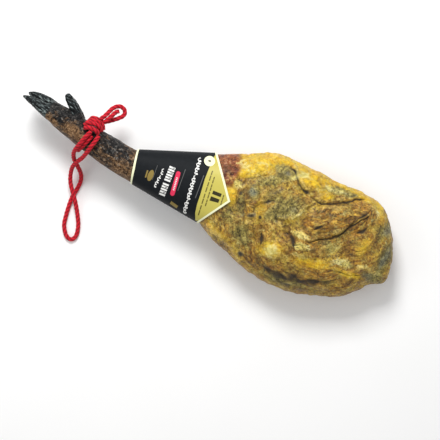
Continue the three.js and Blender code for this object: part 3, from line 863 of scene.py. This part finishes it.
def free_rope(name, node, route_points, material):
    """A free part of the rope that leaves the knot and goes back into it."""
    route = smooth_route(route_points, ROPE_STEP)
    piece = rope_object(name, [route], material)
    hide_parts(node)
    return piece


def make_rope():
    material = rope_material()
    tuck = smooth_route(TUCK_ROUTE, ROPE_STEP)
    hitch = rope_object("rope_knot", [ring_route(), *map(knot_route, KNOT_TURNS), tuck], material)
    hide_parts("rope_hitch")
    free_rope("rope_hanging_loop", "rope_loop", LOOP_ROUTE, material)
    free_rope("rope_back_loop", "rope_tail", TAIL_ROUTE, material)


# ---- The card sleeve ----

SLEEVE_ROWS = 60
SLEEVE_STOPS = 60
INK = 0.12  # how far a layer of print stands off the card or off the print under it
INK_STEP = 1.8  # pitch of the print's mesh
INK_ROUGHNESS = 0.35
CARD_ROUGHNESS = 0.6

# Inks: colour, and which layer above the card it lies in.
INKS = {
    "cream": ((238, 240, 200), 2),
    "white": ((236, 236, 232), 2),
    "gold": ((196, 184, 88), 1),
    "bronze": ((140, 120, 62), 2),
    "olive": ((104, 96, 46), 3),
    "black": ((10, 10, 12), 4),
    "dark": ((52, 48, 26), 3),
    "pink": ((222, 52, 88), 2),
    "grey": ((92, 92, 90), 2),
    "pale": ((236, 220, 222), 3),
}
NARROW_HEM = (0.0, 0.022)  # shares along the sleeve
WIDE_HEM = (0.974, 1.0)

# The print's blocks and lines, in plan.
GOLD_LEFT = [(-4, 75), (-5, 49), (-5, 24), (-2, -8), (-1, -29), (1.5, -46), (7, -60)]
GOLD_ROWS = [((9, -48), (3, 47)), ((15.5, -26), (11, 36)), ((43, -13), (41.5, 8))]
GOLD_BLOCKS = [([(19, 1), (37, 1)], [(19, 8), (37, 8)]), ([(19, -13), (37, -11)], [(19, -4), (37, -4)])]
# Wavy lines: start, end, height, loops and width.
WAVES = [
    ((-92.5, -28), (-89, -4), 6, 5, 1.5),
    ((-89, 0), (-88, 10), 6, 2, 1.5),
    ((-19, -54), (-21, -30), 8, 5, 1.7),
    ((-21.5, -26), (-25, 20), 8, 9, 1.7),
    ((-25.5, 25), (-28, 57), 8, 6, 1.7),
]
GREY_LINES = [
    ([(-46.5, -18), (-47, 4), (-47.8, 27)], 1.2),
    ([(-8.8, -19), (-9, 5), (-9.5, 29)], 1.6),
    ([(-101.5, -16), (-102, 0), (-102.4, 14)], 0.9),
]
BAND = [(-54.4, -27), (-56.3, -5), (-58.1, 14)]


def sleeve_tip():
    """The place across the sleeve where its wide hem comes to a point."""
    upper = math.dist(SLEEVE["wide_back"], SLEEVE["wide_tip"])
    lower = math.dist(SLEEVE["wide_belly"], SLEEVE["wide_tip"])
    return -1 + 2 * lower / (lower + upper)


def sleeve_plan(along, across):
    """Plan position on the sleeve: along from 0 to 1, across from 1 at the back to -1."""
    tip = sleeve_tip()
    along, across = np.broadcast_arrays(np.asarray(along, float), np.asarray(across, float))
    back, point, belly = (np.array(SLEEVE[k]) for k in ("wide_back", "wide_tip", "wide_belly"))
    share = np.where(across > tip, (across - tip) / (1 - tip), (tip - across) / (1 + tip))[..., None]
    end = np.where((across > tip)[..., None], back, belly)
    wide = point + (end - point) * share
    narrow_back, narrow_belly = np.array(SLEEVE["narrow_back"]), np.array(SLEEVE["narrow_belly"])
    narrow = narrow_belly + (narrow_back - narrow_belly) * ((across + 1) / 2)[..., None]
    return narrow + (wide - narrow) * along[..., None]


def sleeve_point(along, across, side=1, lift=0.0):
    """A point of the sleeve's outer face, or lift above it."""
    plan = sleeve_plan(along, across)
    start, stop = SLEEVE["narrow_back"][0], SLEEVE["wide_tip"][0]
    reach = (plan[..., 0] - start) / (stop - start)
    centre = SLEEVE["middle"][0] + (SLEEVE["middle"][1] - SLEEVE["middle"][0]) * reach
    tall = SLEEVE["half"][0] + (SLEEVE["half"][1] - SLEEVE["half"][0]) * reach + lift
    inner = np.clip(1 - np.abs(across) ** SLEEVE["square"], 0, 1)
    z = centre + side * tall * inner ** (1 / SLEEVE["square"])
    y = plan[..., 1] + lift * np.asarray(across)
    return np.stack([plan[..., 0], y, np.broadcast_to(z, y.shape)], axis=-1)


def sleeve_stops():
    """Places across the sleeve, closer together at the folds."""
    tip = sleeve_tip()
    eased = np.sin(np.linspace(0, math.pi / 2, SLEEVE_STOPS))
    return np.concatenate([tip + (1 - tip) * eased[::-1], (tip - (1 + tip) * eased)[1:]])


def card_shell():
    """The sleeve as a thin closed shell of card."""
    stops = sleeve_stops()
    loops = []
    for lift in (0.0, -SLEEVE["card"]):
        for along in np.linspace(0, 1, SLEEVE_ROWS):
            over = sleeve_point(along, stops, 1, lift)
            under = sleeve_point(along, stops[1:-1][::-1], -1, lift)
            loops.append(np.vstack([over, under]))
    order = [*range(SLEEVE_ROWS), *range(2 * SLEEVE_ROWS - 1, SLEEVE_ROWS - 1, -1), 0]
    sides = len(loops[0])
    faces = []
    for near, far in itertools.pairwise(order):
        for i in range(sides):
            j = (i + 1) % sides
            faces.append((near * sides + i, near * sides + j, far * sides + j, far * sides + i))
    return np.vstack(loops), faces


def sleeve_place(plan):
    """Where plan positions lie on the sleeve: shares along and across it."""
    plan = np.asarray(plan, float)
    place = np.full(plan.shape, 0.0)
    place[..., 0] = 0.5
    for _ in range(14):
        here = sleeve_plan(place[..., 0], place[..., 1])
        nudge = 1e-4
        slopes = [
            (sleeve_plan(place[..., 0] + nudge, place[..., 1]) - here) / nudge,
            (sleeve_plan(place[..., 0], place[..., 1] + nudge) - here) / nudge,
        ]
        jacobian = np.stack(slopes, axis=-1)
        step = np.linalg.solve(jacobian, (plan - here)[..., None])[..., 0]
        place += np.clip(step, -0.3, 0.3)
    return place[..., 0], np.clip(place[..., 1], -0.995, 0.995)


def resampled(path, count):
    """count points spread evenly along a path in plan."""
    corners = np.array(path, float)
    lengths = travelled(corners)
    where = np.linspace(0, lengths[-1], count)
    return np.column_stack([np.interp(where, lengths, corners[:, k]) for k in range(2)])


class Print:
    """Ink of one colour, which lies on the sleeve as thin sheets."""

    def __init__(self, name, colour, layer):
        self.name, self.colour = "print_" + name, colour
        self.lift = INK * layer
        self.points, self.faces = [], []

    def add(self, points):
        """Adds a grid of points, indexed by row and column."""
        start = len(self.points)
        self.points.extend(points.reshape(-1, 3))
        self.faces += [tuple(i + start for i in face) for face in grid_faces(*points.shape[:2])]

    def hem(self, along, side):
        """A sheet between two shares along the sleeve, from fold to fold."""
        rows = np.linspace(*along, 6)
        self.add(sleeve_point(rows[:, None], sleeve_stops()[::-1][None, :], side, self.lift))

    def field(self, left, right):
        """A sheet between two paths in plan."""
        length = max(route_length(np.array(path, float)) for path in (left, right))
        count = max(2, round(length / INK_STEP) + 1)
        left, right = resampled(left, count), resampled(right, count)
        gap = np.linalg.norm(right - left, axis=1).max()
        share = np.linspace(0, 1, max(2, round(gap / INK_STEP) + 1))[None, :, None]
        plan = left[:, None] + (right - left)[:, None] * share
        self.add(sleeve_point(*sleeve_place(plan), 1, self.lift))

    def line(self, path, width):
        """A ribbon of ink along a path in plan."""
        path = np.array(path, float)
        run = np.gradient(path, axis=0)
        normal = np.column_stack([run[:, 1], -run[:, 0]])
        normal *= width / 2 / np.linalg.norm(run, axis=1)[:, None]
        self.field(path - normal, path + normal)

    def oval(self, centre, size, hole=0.01):
        """An ellipse of half axes size, with a hole that is a share of it."""
        around = np.linspace(0, 2 * math.pi, 41)
        rim = np.column_stack([np.cos(around) * size[0], np.sin(around) * size[1]])
        self.field(np.array(centre) + rim, np.array(centre) + rim * hole)

    def build(self):
        piece = new_object(self.name, self.points, self.faces)
        piece.data.materials.append(card_material(self.name, tone(*self.colour), INK_ROUGHNESS))
        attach(piece, "root")


def scribble(start, end, height, loops):
    """A wavy path from start to end that hints at handwriting without any letters."""
    start, end = np.array(start, float), np.array(end, float)
    run = end - start
    side = np.array([run[1], -run[0]]) / np.linalg.norm(run)
    t = np.linspace(0, 1, loops * 12)
    phase = 2 * math.pi * loops * t
    tall = height / 2 * (0.65 + 0.35 * np.sin(2.7 * phase / 5 + 1))
    lean = 0.3 * height / np.linalg.norm(run)
    forward = t + lean * np.cos(phase)
    return start + forward[:, None] * run + (tall * np.sin(phase))[:, None] * side


def print_title(white, black):
    """A row of narrow heavy blocks in two groups, some with a slot."""
    y = -38.0
    for group in (5, 6):
        for number in range(group):
            white.line([(-73.2, y), (-73.2, y + 1.8), (-73.2, y + 3.6)], 12.5)
            if number % 2:
                black.line([(-70.5, y + 1.2), (-70.5, y + 1.8), (-70.5, y + 2.4)], 5)
            y += 5.3
        y += 3.5


def print_gold(inks):
    """The gold field at the wide end, its rows of short lines and its two blocks."""
    right = sleeve_plan(0.985, np.array([0.94, 0.5, sleeve_tip(), -0.5, -0.93]))
    inks["gold"].field(GOLD_LEFT, right)
    for start, end in GOLD_ROWS:
        run = np.array(end) - start
        for row in range(8):
            first = start + run * row / 8
            last = first + run * (0.09 if row % 2 else 0.11)
            inks["olive"].line([first, (first + last) / 2, last], 2.2)
    for left, right in GOLD_BLOCKS:
        inks["dark"].field(left, right)


def print_band(inks):
    """A pink band with round ends, and the ticks on it."""
    inks["pink"].line(BAND, 9)
    for end in (BAND[0], BAND[-1]):
        inks["pink"].oval(end, (4.5, 4.5))
    for y in np.arange(-20, 7, 3.4):
        x = -56.1 - (y + 7) * 0.088
        inks["pale"].line([(x, y), (x, y + 1), (x, y + 2)], 3.4)


def print_sleeve():
    """All the print: generic fields, blocks and wavy lines where the card has words and marks."""
    inks = {name: Print(name, *ink) for name, ink in INKS.items()}
    for side in (1, -1):
        inks["cream"].hem(NARROW_HEM, side)
        inks["cream"].hem(WIDE_HEM, side)
    print_title(inks["white"], inks["black"])
    print_gold(inks)
    print_band(inks)
    for start, end, height, loops, width in WAVES:
        inks["white"].line(scribble(start, end, height, loops), width)
    for path, width in GREY_LINES:
        inks["grey"].line(path, width)
    inks["bronze"].oval((-108, -9.5), (5.5, 11.5))
    inks["bronze"].line([(-116, -17), (-116.5, -9.5), (-117, -2)], 3)
    inks["bronze"].line([(-52, -44.5), (-44, -46.5), (-36, -48.5)], 6)
    inks["cream"].oval((-9.5, 60), (11, 10.5))
    inks["dark"].oval((-9.5, 60), (3, 2), 0.3)
    for ink in inks.values():
        ink.build()


def card_material(name, colour, roughness):
    """Smooth card or ink with a faint mottle."""
    shade = Shade(name, Specular_IOR_Level=0.12)
    grain = shade.noise(7, 3, 0.5)
    pressed = shade.noise(30, 2, 0.5)
    shaded = shade.mix(shade.times(grain, 0.07), colour, tone(84, 92, 100))
    shade.bump((pressed, 0.6), (grain, 0.05))
    return shade.finish(shaded, roughness)


def make_sleeve():
    """The card shell and what is printed on it."""
    points, faces = card_shell()
    piece = new_object("card_sleeve", points, faces)
    piece.data.materials.append(card_material("black_card", tone(12, 15, 18), CARD_ROUGHNESS))
    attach(piece, "root")
    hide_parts("label_sleeve")
    print_sleeve()


# ---- Floor, light and camera ----

CAMERA = {"over": (52.6, -41.3), "height": 2660, "turn": 21.5, "lens": 105.3, "sensor": 36}
FLOOR_RADIUS = 3500


def make_floor():
    around = np.linspace(0, 2 * math.pi, 96, endpoint=False)
    rim = np.column_stack([np.cos(around), np.sin(around), np.zeros(96)]) * FLOOR_RADIUS
    rim[:, 2] = -0.05
    floor = new_object("floor", rim, [tuple(range(96))])
    shade = Shade("pale_floor")
    soft = shade.noise(300, 2, 0.5)
    floor.data.materials.append(shade.finish(shade.mix(soft, tone(248, 248, 247), tone(252, 252, 252)), 0.9))


# Soft lights: place to the right, to the top and above the part's middle, then size and power.
LIGHTS = {
    "key": ((-200, 1300, 1500), 700, 34),
    "fill": ((-1500, -300, 1300), 1200, 5),
    "front": ((900, -900, 1900), 1100, 2.5),
}
LIT = Vector((60, 0, 60))  # where the lights look
SKY = 0.5


def area_light(name, place, size, power):
    """A square soft light at place that looks at the part, in millimetres."""
    data = bpy.data.lights.new(name, "AREA")
    data.shape = "SQUARE"
    data.size = size * MM
    data.energy = power
    light = placed(name, data)
    light.location = place * MM
    light.rotation_euler = (LIT - place).to_track_quat("-Z", "Y").to_euler()


def make_lights():
    """The key light from the top of the picture, two weaker lights, and a pale sky."""
    turn = math.radians(CAMERA["turn"])
    right = Vector((math.cos(turn), math.sin(turn), 0))
    top = Vector((-math.sin(turn), math.cos(turn), 0))
    for name, ((rightward, upward, above), size, power) in LIGHTS.items():
        place = LIT + right * rightward + top * upward + Vector((0, 0, above))
        area_light(name, place, size, power)
    world = bpy.data.worlds.new("studio")
    world.use_nodes = True
    sky = world.node_tree.nodes["Background"]
    sky.inputs["Color"].default_value = (1, 1, 1, 1)
    sky.inputs["Strength"].default_value = SKY
    bpy.context.scene.world = world
    bpy.context.scene.view_settings.view_transform = "Standard"


def make_camera():
    data = bpy.data.cameras.new("camera")
    data.lens = CAMERA["lens"]
    data.sensor_width = CAMERA["sensor"]
    camera = placed("camera", data)
    camera.location = Vector((*CAMERA["over"], CAMERA["height"])) * MM
    camera.rotation_euler = (0, 0, math.radians(CAMERA["turn"]))
    bpy.context.scene.camera = camera


make_camera()
make_lights()
make_floor()
make_rope()
make_leg()
make_sleeve()
